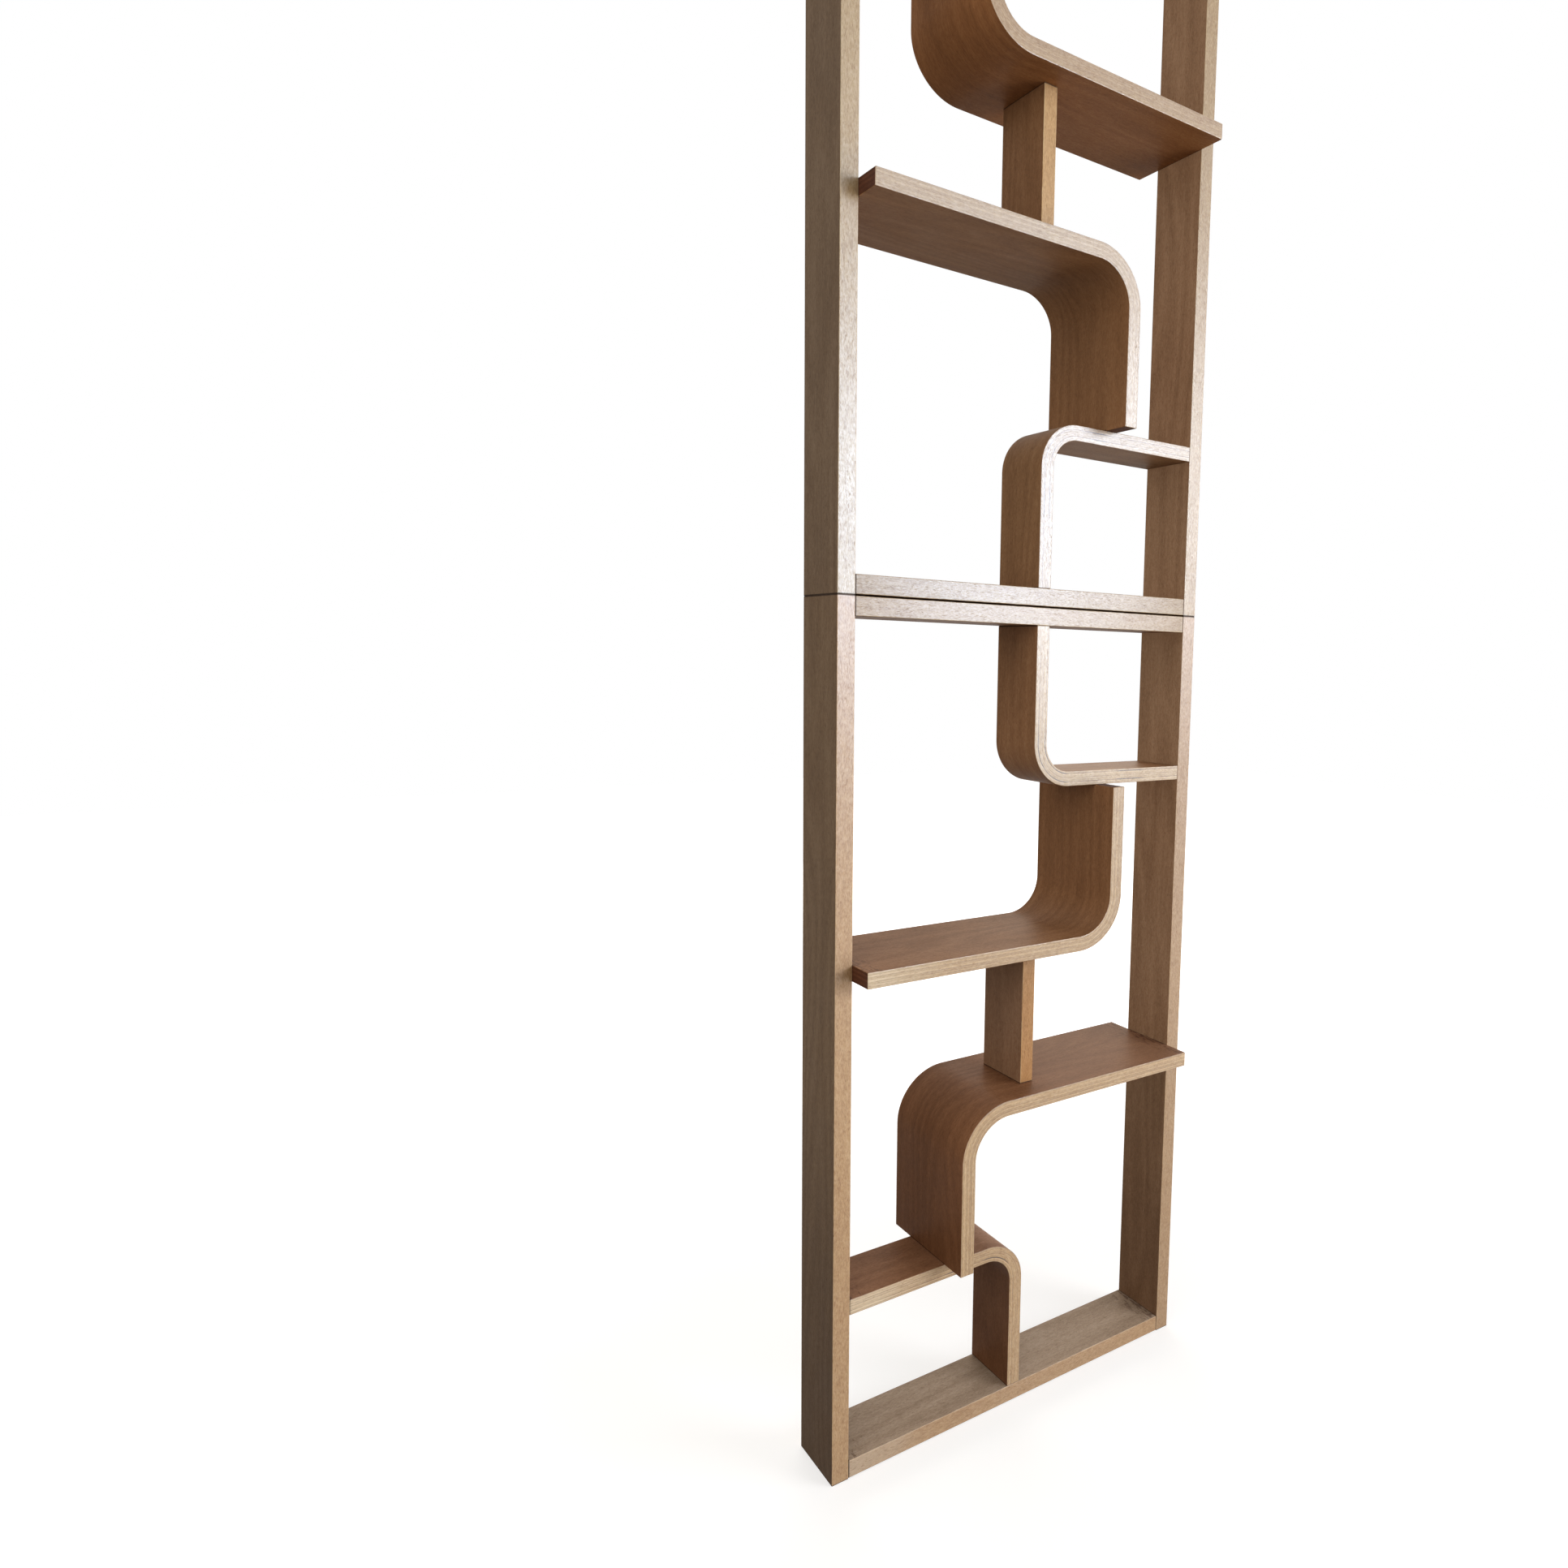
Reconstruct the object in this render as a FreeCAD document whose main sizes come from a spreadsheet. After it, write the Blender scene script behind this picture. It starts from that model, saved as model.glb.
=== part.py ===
import FreeCAD, Part
import math
import os
import Sketcher

# Bookshelf of two stacked modules: open frames with bent boards and a divider that wind up like a spine.
# Origin on the floor at mid width and mid depth, X to the right, Y to the back, Z up, in millimetres.

doc = FreeCAD.newDocument("bookshelf")
sheet = doc.addObject("Spreadsheet::Sheet", "sizes")

driving_sizes = [
    ("module_height", 1200),
    ("overall_width", 630),
    ("frame_depth", 96),
    ("upright_thick", 25),
    ("rail_thick", 25),
    ("rail_setback", 1.2),
    ("shelf_depth", 180),
    ("board_thick", 22),
    ("small_rise", 260),
    ("small_bend_radius", 64),
    ("deep_offset", 139),
    ("deep_bend_radius", 78),
    ("divider_height", 200),
    ("divider_thick", 22),
    ("edge_ease", 0.8),
    ("dowel_diameter", 8),
    ("dowel_length", 40),
    ("dowel_seat", 14),
    ("dowel_spacing", 56),
    ("dowel_clearance", 0.1),
    ("dowel_end_gap", 1),
    ("pin_diameter", 10),
    ("pin_seat", 30),
    ("pin_reach", 20),
    ("pin_clearance", 0.4),
    ("pin_end_gap", 2),
]
for row, (alias, size) in enumerate(driving_sizes, start=1):
    sheet.set(f"A{row}", alias)
    sheet.set(f"B{row}", str(size))
    sheet.setAlias(f"B{row}", alias)
doc.recompute()

# Places and sizes that several pieces share, worked out from the driving sizes
inner_half = "(sizes.overall_width / 2 - sizes.upright_thick)"
upright_middle = "(sizes.overall_width / 2 - sizes.upright_thick / 2)"
rail_top = "(sizes.rail_setback + sizes.rail_thick)"
rail_middle = "(sizes.rail_setback + sizes.rail_thick / 2)"
foot_middle = "(sizes.board_thick / 2)"
deep_rise = "((sizes.module_height - sizes.divider_height) / 2)"
deep_foot_middle = "(sizes.deep_offset - sizes.board_thick / 2)"
small_end_middle = "(sizes.small_rise - sizes.board_thick / 2)"
deep_end_middle = f"({deep_rise} + sizes.divider_height + sizes.board_thick / 2)"
dowel_side = "(sizes.dowel_spacing / 2)"
dowel_bore = "(sizes.dowel_diameter + sizes.dowel_clearance)"
seat_bore_depth = "(sizes.dowel_seat + sizes.dowel_end_gap)"
end_bore_depth = "(sizes.dowel_length - sizes.dowel_seat + sizes.dowel_end_gap)"

straight = FreeCAD.Rotation()
half_turn_x = FreeCAD.Rotation(FreeCAD.Vector(1, 0, 0), 180)
half_turn_y = FreeCAD.Rotation(FreeCAD.Vector(0, 1, 0), 180)
half_turn_z = FreeCAD.Rotation(FreeCAD.Vector(0, 0, 1), 180)
quarter_turn_y = FreeCAD.Rotation(FreeCAD.Vector(0, 1, 0), 90)

# An edge counts as long when it is over this many times the board's thickness
long_edge_share = 1.5

sub_parts = []
pockets = []


def place(piece, module, turn, x, z):
    # The upper module is the lower one turned over about the left-to-right line of the seam
    if module == "upper":
        turn = half_turn_x.multiply(turn)
        z = f"2 * sizes.module_height - {z}"
    piece.Placement = FreeCAD.Placement(FreeCAD.Vector(), turn)
    piece.setExpression("Placement.Base.x", x)
    piece.setExpression("Placement.Base.z", z)


def start_body(label):
    body = doc.addObject("PartDesign::Body", label)
    body.Label = label
    sub_parts.append(body)
    return body


def start_sketch(body, name, role, offset):
    sketch = body.newObject("Sketcher::SketchObject", name)
    plane = [feature for feature in body.Origin.OriginFeatures if feature.Role == role][0]
    sketch.AttachmentSupport = [(plane, "")]
    sketch.MapMode = "FlatFace"
    sketch.setExpression("AttachmentOffset.Base.z", offset)
    return sketch


def bind(sketch, name, expression, kind, *geometry):
    value = sheet.evalExpression(expression)
    index = sketch.addConstraint(Sketcher.Constraint(kind, *geometry, value))
    sketch.renameConstraint(index, name)
    sketch.setExpression(f"Constraints.{name}", expression)


def draw_rectangle(sketch, left, right, bottom, top):
    low = FreeCAD.Vector(sheet.evalExpression(left), sheet.evalExpression(bottom), 0)
    high = FreeCAD.Vector(sheet.evalExpression(right), sheet.evalExpression(top), 0)
    low_right = FreeCAD.Vector(high.x, low.y, 0)
    high_left = FreeCAD.Vector(low.x, high.y, 0)
    corners = [low, low_right, high, high_left]
    for start, end in zip(corners, corners[1:] + corners[:1]):
        sketch.addGeometry(Part.LineSegment(start, end), False)
    for line in range(len(corners)):
        sketch.addConstraint(Sketcher.Constraint("Coincident", line, 2, (line + 1) % len(corners), 1))
        sketch.addConstraint(Sketcher.Constraint("Vertical" if line % 2 else "Horizontal", line))
    bind(sketch, "left", left, "DistanceX", -1, 1, 0, 1)
    bind(sketch, "bottom", bottom, "DistanceY", -1, 1, 0, 1)
    bind(sketch, "right", right, "DistanceX", -1, 1, 2, 1)
    bind(sketch, "top", top, "DistanceY", -1, 1, 2, 1)


def draw_bend(sketch, reach, drop, radius):
    # Seen from the front: out to the left from the outer corner, and down from it, round one bend
    run = sheet.evalExpression(reach)
    fall = sheet.evalExpression(drop)
    outer = sheet.evalExpression(radius)
    thick = sheet.evalExpression("sizes.board_thick")
    centre = FreeCAD.Vector(-outer, -outer, 0)
    facing = FreeCAD.Vector(0, 0, 1)
    quarter = math.pi / 2

    def line(x_start, y_start, x_end, y_end):
        start = FreeCAD.Vector(x_start, y_start, 0)
        end = FreeCAD.Vector(x_end, y_end, 0)
        return sketch.addGeometry(Part.LineSegment(start, end), False)

    def arc(arc_radius):
        circle = Part.Circle(centre, facing, arc_radius)
        return sketch.addGeometry(Part.ArcOfCircle(circle, 0, quarter), False)

    top = line(-run, 0, -outer, 0)
    outer_arc = arc(outer)
    side = line(0, -outer, 0, -fall)
    foot = line(0, -fall, -thick, -fall)
    inner_side = line(-thick, -fall, -thick, -outer)
    inner_arc = arc(outer - thick)
    underside = line(-outer, -thick, -run, -thick)
    end = line(-run, -thick, -run, 0)

    rules = [
        ("Tangent", top, 2, outer_arc, 2),
        ("Tangent", outer_arc, 1, side, 1),
        ("Coincident", side, 2, foot, 1),
        ("Coincident", foot, 2, inner_side, 1),
        ("Tangent", inner_side, 2, inner_arc, 1),
        ("Tangent", inner_arc, 2, underside, 1),
        ("Coincident", underside, 2, end, 1),
        ("Coincident", end, 2, top, 1),
        ("Coincident", outer_arc, 3, inner_arc, 3),
        ("PointOnObject", top, 1, -1),
        ("PointOnObject", side, 1, -2),
        ("Horizontal", top),
        ("Horizontal", foot),
        ("Horizontal", underside),
        ("Vertical", side),
        ("Vertical", inner_side),
        ("Vertical", end),
    ]
    for rule in rules:
        sketch.addConstraint(Sketcher.Constraint(*rule))
    bind(sketch, "radius", radius, "Radius", outer_arc)
    bind(sketch, "thick", "sizes.board_thick", "DistanceX", foot, 2, foot, 1)
    bind(sketch, "reach", reach, "DistanceX", end, 2, -1, 1)
    bind(sketch, "drop", drop, "DistanceY", foot, 1, -1, 1)


def pad_across(body, sketch, depth):
    # Boards run the same way front and back of the frame's mid plane
    pad = body.newObject("PartDesign::Pad", f"{body.Label}_board")
    pad.Profile = sketch
    pad.SideType = "Symmetric"
    pad.setExpression("Length", depth)


def drill(body, name, role, offset, spots, bore, depth, into_positive):
    sketch = start_sketch(body, f"{body.Label}_{name}_spots", role, offset)
    for across, along in spots:
        circle = sketch.addGeometry(Part.Circle(), False)
        bind(sketch, f"across_{circle}", across, "DistanceX", -1, 1, circle, 3)
        bind(sketch, f"along_{circle}", along, "DistanceY", -1, 1, circle, 3)
        bind(sketch, f"bore_{circle}", bore, "Diameter", circle)
    pocket = body.newObject("PartDesign::Pocket", f"{body.Label}_{name}_bores")
    pocket.Profile = sketch
    pocket.setExpression("Length", depth)
    pocket.Reversed = into_positive
    pockets.append(pocket)


def drill_pair(body, name, role, offset, place_along, depth, into_positive):
    # Two dowel bores, one each side of the frame's mid depth
    if role == "YZ_Plane":
        spots = [(f"-{dowel_side}", place_along), (dowel_side, place_along)]
    else:
        spots = [(place_along, f"-{dowel_side}"), (place_along, dowel_side)]
    drill(body, name, role, offset, spots, dowel_bore, depth, into_positive)


def ease_long_edges(body, thick):
    doc.recompute()
    solid = body.Tip.Shape
    front = solid.BoundBox.YMin
    back = solid.BoundBox.YMax
    shortest = long_edge_share * sheet.evalExpression(thick)
    chosen = []
    for number, edge in enumerate(solid.Edges, start=1):
        box = edge.BoundBox
        on_front = math.isclose(box.YMax, front, abs_tol=Part.Precision.confusion())
        on_back = math.isclose(box.YMin, back, abs_tol=Part.Precision.confusion())
        if (on_front or on_back) and edge.Length > shortest:
            chosen.append(f"Edge{number}")
    fillet = body.newObject("PartDesign::Fillet", f"{body.Label}_eased_edges")
    fillet.Base = (pockets[-1], chosen)
    fillet.setExpression("Radius", "sizes.edge_ease")


def make_upright(module, side):
    # Drawn as the left one, with its inner face at zero and its foot on the floor
    body = start_body(f"{module}_{side}_upright")
    sketch = start_sketch(body, f"{body.Label}_outline", "XZ_Plane", "0")
    draw_rectangle(sketch, "-sizes.upright_thick", "0", "0", "sizes.module_height")
    pad_across(body, sketch, "sizes.frame_depth")
    heights = [
        ("end_rail", rail_middle),
        ("small_shelf", small_end_middle),
        ("deep_shelf", deep_end_middle),
        ("middle_rail", f"sizes.module_height - {rail_middle}"),
    ]
    for name, height in heights:
        drill_pair(body, name, "YZ_Plane", "0", height, seat_bore_depth, False)
    # The pin is glued into the lower module and slips into the upper one
    if module == "lower":
        pin_bore = "sizes.pin_diameter + sizes.dowel_clearance"
        pin_depth = "sizes.pin_seat + sizes.pin_end_gap"
    else:
        pin_bore = "sizes.pin_diameter + sizes.pin_clearance"
        pin_depth = "sizes.pin_reach + sizes.pin_end_gap"
    pin_spot = [("-sizes.upright_thick / 2", "0")]
    if side == "left":
        drill(body, "pin", "XY_Plane", "sizes.module_height", pin_spot, pin_bore, pin_depth, False)
    else:
        drill(body, "pin", "XY_Plane", "0", pin_spot, pin_bore, pin_depth, True)
    ease_long_edges(body, "sizes.upright_thick")
    if side == "left":
        place(body, module, straight, f"-{inner_half}", "0")
    else:
        place(body, module, half_turn_y, inner_half, "sizes.module_height")


def make_rail(module, position):
    # Drawn as the end rail, with its underside at zero
    body = start_body(f"{module}_{position}_rail")
    sketch = start_sketch(body, f"{body.Label}_outline", "XZ_Plane", "0")
    draw_rectangle(sketch, f"-{inner_half}", inner_half, "0", "sizes.rail_thick")
    pad_across(body, sketch, "sizes.frame_depth")
    half_thick = "sizes.rail_thick / 2"
    drill_pair(body, "left", "YZ_Plane", f"-{inner_half}", half_thick, end_bore_depth, True)
    drill_pair(body, "right", "YZ_Plane", inner_half, half_thick, end_bore_depth, False)
    drill_pair(body, "foot", "XY_Plane", "sizes.rail_thick", f"-{foot_middle}", seat_bore_depth, False)
    ease_long_edges(body, "sizes.rail_thick")
    if position == "end":
        place(body, module, straight, "0", "sizes.rail_setback")
    else:
        place(body, module, half_turn_y, "0", "(sizes.module_height - sizes.rail_setback)")


def make_bent_board(label, reach, drop, depth, radius, seat):
    # Drawn with its outer corner at zero. The seat is where the next piece stands on its outer face.
    body = start_body(label)
    sketch = start_sketch(body, f"{label}_outline", "XZ_Plane", "0")
    draw_bend(sketch, reach, drop, radius)
    pad_across(body, sketch, depth)
    half_thick = "-sizes.board_thick / 2"
    drill_pair(body, "end", "YZ_Plane", f"-{reach}", half_thick, end_bore_depth, True)
    drill_pair(body, "foot", "XY_Plane", f"-{drop}", half_thick, end_bore_depth, True)
    drill_pair(body, "seat", "XY_Plane", "0", f"-{seat}", seat_bore_depth, False)
    ease_long_edges(body, "sizes.board_thick")
    return body


def make_small_shelf(module, side):
    drop = f"(sizes.small_rise - {rail_top})"
    label = f"{module}_small_shelf_{side}"
    depth = "sizes.frame_depth"
    body = make_bent_board(label, inner_half, drop, depth, "sizes.small_bend_radius", deep_foot_middle)
    if side == "left":
        place(body, module, straight, "0", "sizes.small_rise")
    else:
        place(body, module, half_turn_y, "0", "(sizes.module_height - sizes.small_rise)")


def make_deep_shelf(module, side):
    reach = f"({inner_half} + sizes.deep_offset)"
    drop = f"({deep_rise} - sizes.small_rise)"
    label = f"{module}_deep_shelf_{side}"
    depth = "sizes.shelf_depth"
    body = make_bent_board(label, reach, drop, depth, "sizes.deep_bend_radius", "sizes.deep_offset")
    if side == "left":
        place(body, module, half_turn_x, "sizes.deep_offset", f"({deep_rise} + sizes.divider_height)")
    else:
        place(body, module, half_turn_z, "-sizes.deep_offset", deep_rise)


def make_divider(module):
    body = start_body(f"{module}_divider")
    sketch = start_sketch(body, f"{body.Label}_outline", "XZ_Plane", "0")
    draw_rectangle(sketch, "-sizes.divider_thick / 2", "sizes.divider_thick / 2", "0", "sizes.divider_height")
    pad_across(body, sketch, "sizes.frame_depth")
    drill_pair(body, "foot", "XY_Plane", "0", "0", end_bore_depth, True)
    drill_pair(body, "head", "XY_Plane", "sizes.divider_height", "0", end_bore_depth, False)
    ease_long_edges(body, "sizes.divider_thick")
    place(body, module, straight, "0", deep_rise)


def make_round_pin(name, diameter, length, turn, x, y, z):
    pin = doc.addObject("Part::Cylinder", name)
    pin.setExpression("Radius", f"{diameter} / 2")
    pin.setExpression("Height", length)
    pin.Placement = FreeCAD.Placement(FreeCAD.Vector(), turn)
    pin.setExpression("Placement.Base.x", x)
    pin.setExpression("Placement.Base.y", y)
    pin.setExpression("Placement.Base.z", z)
    return pin


def group_pins(label, pins):
    group = doc.addObject("Part::Compound", label)
    group.Label = label
    group.Links = pins
    sub_parts.append(group)
    return group


def make_dowels(module, kind, rows):
    # Each row starts at its seat's bottom and comes again with the module turned half round
    label = f"{module}_{kind}_dowels"
    dowels = []
    for number, (turn, x, z) in enumerate(rows):
        for side, y in (("front", f"-{dowel_side}"), ("back", dowel_side)):
            name = f"{label}_{number}_{side}"
            size = ("sizes.dowel_diameter", "sizes.dowel_length")
            dowels.append(make_round_pin(name, *size, turn, x, y, z))
            turned = half_turn_y.multiply(turn)
            z_turned = f"sizes.module_height - ({z})"
            dowels.append(make_round_pin(f"{name}_turned", *size, turned, f"-({x})", y, z_turned))
    place(group_pins(label, dowels), module, straight, "0", "0")


def make_module_dowels(module):
    upright_seat = f"-{inner_half} - sizes.dowel_seat"
    far_rail = f"sizes.module_height - {rail_middle}"
    make_dowels(module, "corner", [
        (quarter_turn_y, upright_seat, rail_middle),
        (quarter_turn_y, upright_seat, far_rail),
    ])
    make_dowels(module, "shelf", [
        (quarter_turn_y, upright_seat, small_end_middle),
        (quarter_turn_y, upright_seat, deep_end_middle),
    ])
    make_dowels(module, "foot", [
        (straight, f"-{foot_middle}", f"{rail_top} - sizes.dowel_seat"),
        (straight, f"-{deep_foot_middle}", "sizes.small_rise - sizes.dowel_seat"),
    ])
    make_dowels(module, "divider", [
        (straight, "0", f"{deep_rise} - sizes.dowel_seat"),
    ])


def make_stacking_pins():
    pins = []
    for side, x in (("left", f"-{upright_middle}"), ("right", upright_middle)):
        length = "sizes.pin_seat + sizes.pin_reach"
        bottom = "sizes.module_height - sizes.pin_seat"
        pins.append(make_round_pin(f"{side}_pin", "sizes.pin_diameter", length, straight, x, "0", bottom))
    group_pins("stacking_pins", pins)


for module in ("lower", "upper"):
    for side in ("left", "right"):
        make_upright(module, side)
        make_small_shelf(module, side)
        make_deep_shelf(module, side)
    for position in ("end", "middle"):
        make_rail(module, position)
    make_divider(module)
    make_module_dowels(module)
make_stacking_pins()
doc.recompute()

for item in doc.Objects:
    if "Invalid" in item.State or "Error" in item.State:
        raise RuntimeError(f"{item.Label} failed to build")
for pocket in pockets:
    if pocket.Shape.Volume >= pocket.BaseFeature.Shape.Volume:
        raise RuntimeError(f"{pocket.Label} cuts nothing")
for piece in sub_parts:
    if piece.Shape.isNull() or not piece.Shape.isValid():
        raise RuntimeError(f"{piece.Label} has no sound shape")

os.makedirs("parts", exist_ok=True)
for piece in sub_parts:
    piece.Shape.exportStep(f"parts/{piece.Label}.step")
    print(piece.Label, len(piece.Shape.Solids), round(piece.Shape.Volume))
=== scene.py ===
import math
import bpy
from mathutils import Matrix, Vector


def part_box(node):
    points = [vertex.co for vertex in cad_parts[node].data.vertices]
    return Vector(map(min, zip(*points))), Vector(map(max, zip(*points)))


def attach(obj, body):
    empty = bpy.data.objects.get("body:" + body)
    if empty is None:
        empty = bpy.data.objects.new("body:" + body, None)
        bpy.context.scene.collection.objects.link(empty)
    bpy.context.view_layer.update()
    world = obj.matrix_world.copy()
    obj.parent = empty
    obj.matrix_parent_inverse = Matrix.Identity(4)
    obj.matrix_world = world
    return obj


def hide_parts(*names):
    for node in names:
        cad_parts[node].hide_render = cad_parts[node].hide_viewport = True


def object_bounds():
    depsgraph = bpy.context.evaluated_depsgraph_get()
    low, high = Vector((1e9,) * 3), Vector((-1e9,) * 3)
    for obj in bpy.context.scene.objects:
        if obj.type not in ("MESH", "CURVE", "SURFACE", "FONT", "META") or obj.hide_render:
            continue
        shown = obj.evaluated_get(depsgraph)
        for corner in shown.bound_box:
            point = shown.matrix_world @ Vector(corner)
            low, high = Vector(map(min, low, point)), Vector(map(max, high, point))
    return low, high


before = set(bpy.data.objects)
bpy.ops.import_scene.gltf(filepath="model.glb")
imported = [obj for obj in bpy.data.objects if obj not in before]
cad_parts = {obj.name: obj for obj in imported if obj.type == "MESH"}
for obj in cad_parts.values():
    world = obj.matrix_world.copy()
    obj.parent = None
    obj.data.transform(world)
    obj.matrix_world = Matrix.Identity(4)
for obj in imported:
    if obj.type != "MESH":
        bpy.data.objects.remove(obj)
cadBounds = [list(corner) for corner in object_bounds()]
scene = bpy.context.scene
scene.view_settings.view_transform = "Standard"
modules = ("lower", "upper")
print("frame loaded:", len(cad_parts), "pieces")


def put(tree, kind, inputs=None, **settings):
    node = tree.nodes.new(kind)
    for name, value in settings.items():
        setattr(node, name, value)
    for key, value in (inputs or {}).items():
        if isinstance(value, bpy.types.NodeSocket):
            tree.links.new(value, node.inputs[key])
        else:
            node.inputs[key].default_value = value
    return node


def calc(tree, operation, *values):
    return put(tree, "ShaderNodeMath", dict(enumerate(values)), operation=operation).outputs[0]


def splitVector(tree, vector):
    return put(tree, "ShaderNodeSeparateXYZ", {0: vector}).outputs


def fromSrgb(red, green, blue):
    def linear(level):
        level = level / 255
        return level / 12.92 if level <= 0.04045 else ((level + 0.055) / 1.055) ** 2.4
    return (linear(red), linear(green), linear(blue), 1)


def addSockets(tree, direction, sockets):
    for label, kind in sockets.items():
        tree.interface.new_socket(label, in_out=direction, socket_type="NodeSocket" + kind)


def startGroup(name, kind, inputs, outputs):
    tree = bpy.data.node_groups.new(name, kind)
    addSockets(tree, "INPUT", inputs)
    addSockets(tree, "OUTPUT", outputs)
    return tree, tree.nodes.new("NodeGroupInput").outputs, tree.nodes.new("NodeGroupOutput").inputs


def startMaterial(name):
    material = bpy.data.materials.new(name)
    material.use_nodes = True
    material.node_tree.nodes.clear()
    return material, material.node_tree


# Boards: a section swept along a path, with a coordinate that follows the board round its bend
boardInputs = {
    "Depth": "Float", "Thickness": "Float", "Edge Ease": "Float", "End Ease": "Float",
    "Grain Seed": "Float", "Face Tint": "Vector", "Edge Tint": "Vector",
    "Pin Bore": "Float", "Bore Depth": "Float",
    "Face Material": "Material", "Edge Material": "Material", "End Material": "Material",
}
# Steps round an eased arris and a bore, how near the path an end face's centre lies, and the share of the
# ease that still counts as the face
boardMesh = {"easeSteps": 3, "boreSides": 32, "endNear": 0.00001, "faceShare": 0.3}


def storeField(tree, geometry, name, kind, value):
    inputs = {"Geometry": geometry, "Name": name}
    node = put(tree, "GeometryNodeStoreNamedAttribute", inputs, data_type=kind, domain="POINT")
    tree.links.new(value, node.inputs["Value"])
    return node.outputs[0]


def storedField(tree, name):
    return put(tree, "GeometryNodeInputNamedAttribute", {"Name": name}, data_type="FLOAT").outputs[0]


def offMiddle(tree, name):
    return calc(tree, "ABSOLUTE", storedField(tree, name))


def sweepSection(tree, given):
    section = put(tree, "GeometryNodeCurvePrimitiveQuadrilateral",
                  {"Width": given["Depth"], "Height": given["Thickness"]}).outputs[0]
    section = put(tree, "GeometryNodeFilletCurve",
                  {"Curve": section, "Count": boardMesh["easeSteps"], "Radius": given["Edge Ease"]},
                  mode="POLY").outputs[0]
    spot = splitVector(tree, put(tree, "GeometryNodeInputPosition").outputs[0])
    section = storeField(tree, section, "across", "FLOAT", spot["X"])
    section = storeField(tree, section, "through", "FLOAT", spot["Y"])

    path = put(tree, "GeometryNodeSetCurveNormal", {"Curve": given["Path"], "Normal": (0, 1, 0)},
               mode="FREE").outputs[0]
    along = put(tree, "GeometryNodeSplineParameter").outputs["Length"]
    path = storeField(tree, path, "along", "FLOAT", along)
    run = put(tree, "GeometryNodeSplineLength").outputs["Length"]
    path = storeField(tree, path, "run", "FLOAT", run)
    return put(tree, "GeometryNodeCurveToMesh",
               {"Curve": path, "Profile Curve": section, "Fill Caps": True}).outputs[0]


# What the finish reads from each point of a board
def storeFinish(tree, given, board):
    along, across, through = (storedField(tree, name) for name in ("along", "across", "through"))
    coord = put(tree, "ShaderNodeCombineXYZ", {0: along, 1: across, 2: through}).outputs[0]
    size = put(tree, "ShaderNodeCombineXYZ",
               {0: storedField(tree, "run"), 1: given["Depth"], 2: given["Thickness"]}).outputs[0]
    board = storeField(tree, board, "boardCoord", "FLOAT_VECTOR", coord)
    board = storeField(tree, board, "boardSize", "FLOAT_VECTOR", size)
    board = storeField(tree, board, "grainSeed", "FLOAT", given["Grain Seed"])
    board = storeField(tree, board, "faceTint", "FLOAT_VECTOR", given["Face Tint"])
    return storeField(tree, board, "edgeTint", "FLOAT_VECTOR", given["Edge Tint"])


# Sawn ends get a small chamfer: the end faces step out and shrink
def easeEnds(tree, given, board):
    offPath = calc(tree, "ADD", offMiddle(tree, "across"), offMiddle(tree, "through"))
    onEnd = calc(tree, "LESS_THAN", offPath, boardMesh["endNear"])
    grown = put(tree, "GeometryNodeExtrudeMesh",
                {"Mesh": board, "Selection": onEnd, "Offset Scale": given["End Ease"], "Individual": True})
    ends = grown.outputs["Top"]
    bothSides = calc(tree, "MULTIPLY", given["End Ease"], 2)
    thinner, narrower = (
        calc(tree, "DIVIDE", calc(tree, "SUBTRACT", given[label], bothSides), given[label])
        for label in ("Thickness", "Depth"))
    board = put(tree, "GeometryNodeScaleElements",
                {"Geometry": grown.outputs["Mesh"], "Selection": ends, "Scale": thinner},
                domain="FACE", scale_mode="UNIFORM").outputs[0]
    widen = calc(tree, "DIVIDE", narrower, thinner)
    return put(tree, "GeometryNodeScaleElements",
               {"Geometry": board, "Selection": ends, "Scale": widen, "Axis": (0, 1, 0)},
               domain="FACE", scale_mode="SINGLE_AXIS").outputs[0]


# A loose pin's hole in the first end
def boreFirstEnd(tree, given, board):
    drill = put(tree, "GeometryNodeMeshCylinder",
                {"Vertices": boardMesh["boreSides"], "Radius": calc(tree, "DIVIDE", given["Pin Bore"], 2),
                 "Depth": calc(tree, "MULTIPLY", given["Bore Depth"], 2)}).outputs[0]
    drill = put(tree, "GeometryNodeTransform",
                {"Geometry": drill, "Rotation": (0, math.pi / 2, 0)}).outputs[0]
    bored = put(tree, "GeometryNodeMeshBoolean", {"Mesh 1": board, "Mesh 2": drill},
                operation="DIFFERENCE").outputs[0]
    wanted = calc(tree, "GREATER_THAN", given["Pin Bore"], 0)
    return put(tree, "GeometryNodeSwitch", {"Switch": wanted, "False": board, "True": bored},
               input_type="GEOMETRY").outputs[0]


def dressSides(tree, given, board):
    edgeFrom = calc(tree, "SUBTRACT", calc(tree, "DIVIDE", given["Depth"], 2), given["Edge Ease"])
    onEdge = calc(tree, "GREATER_THAN", offMiddle(tree, "across"), edgeFrom)
    faceEase = calc(tree, "MULTIPLY", given["Edge Ease"], boardMesh["faceShare"])
    faceFrom = calc(tree, "SUBTRACT", calc(tree, "DIVIDE", given["Thickness"], 2), faceEase)
    onFace = calc(tree, "GREATER_THAN", offMiddle(tree, "through"), faceFrom)
    board = put(tree, "GeometryNodeRealizeInstances", {"Geometry": board}).outputs[0]
    board = put(tree, "GeometryNodeSetMaterial",
                {"Geometry": board, "Material": given["End Material"]}).outputs[0]
    for chosen, label in ((onEdge, "Edge Material"), (onFace, "Face Material")):
        board = put(tree, "GeometryNodeSetMaterial",
                    {"Geometry": board, "Selection": chosen, "Material": given[label]}).outputs[0]
    return board


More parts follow.
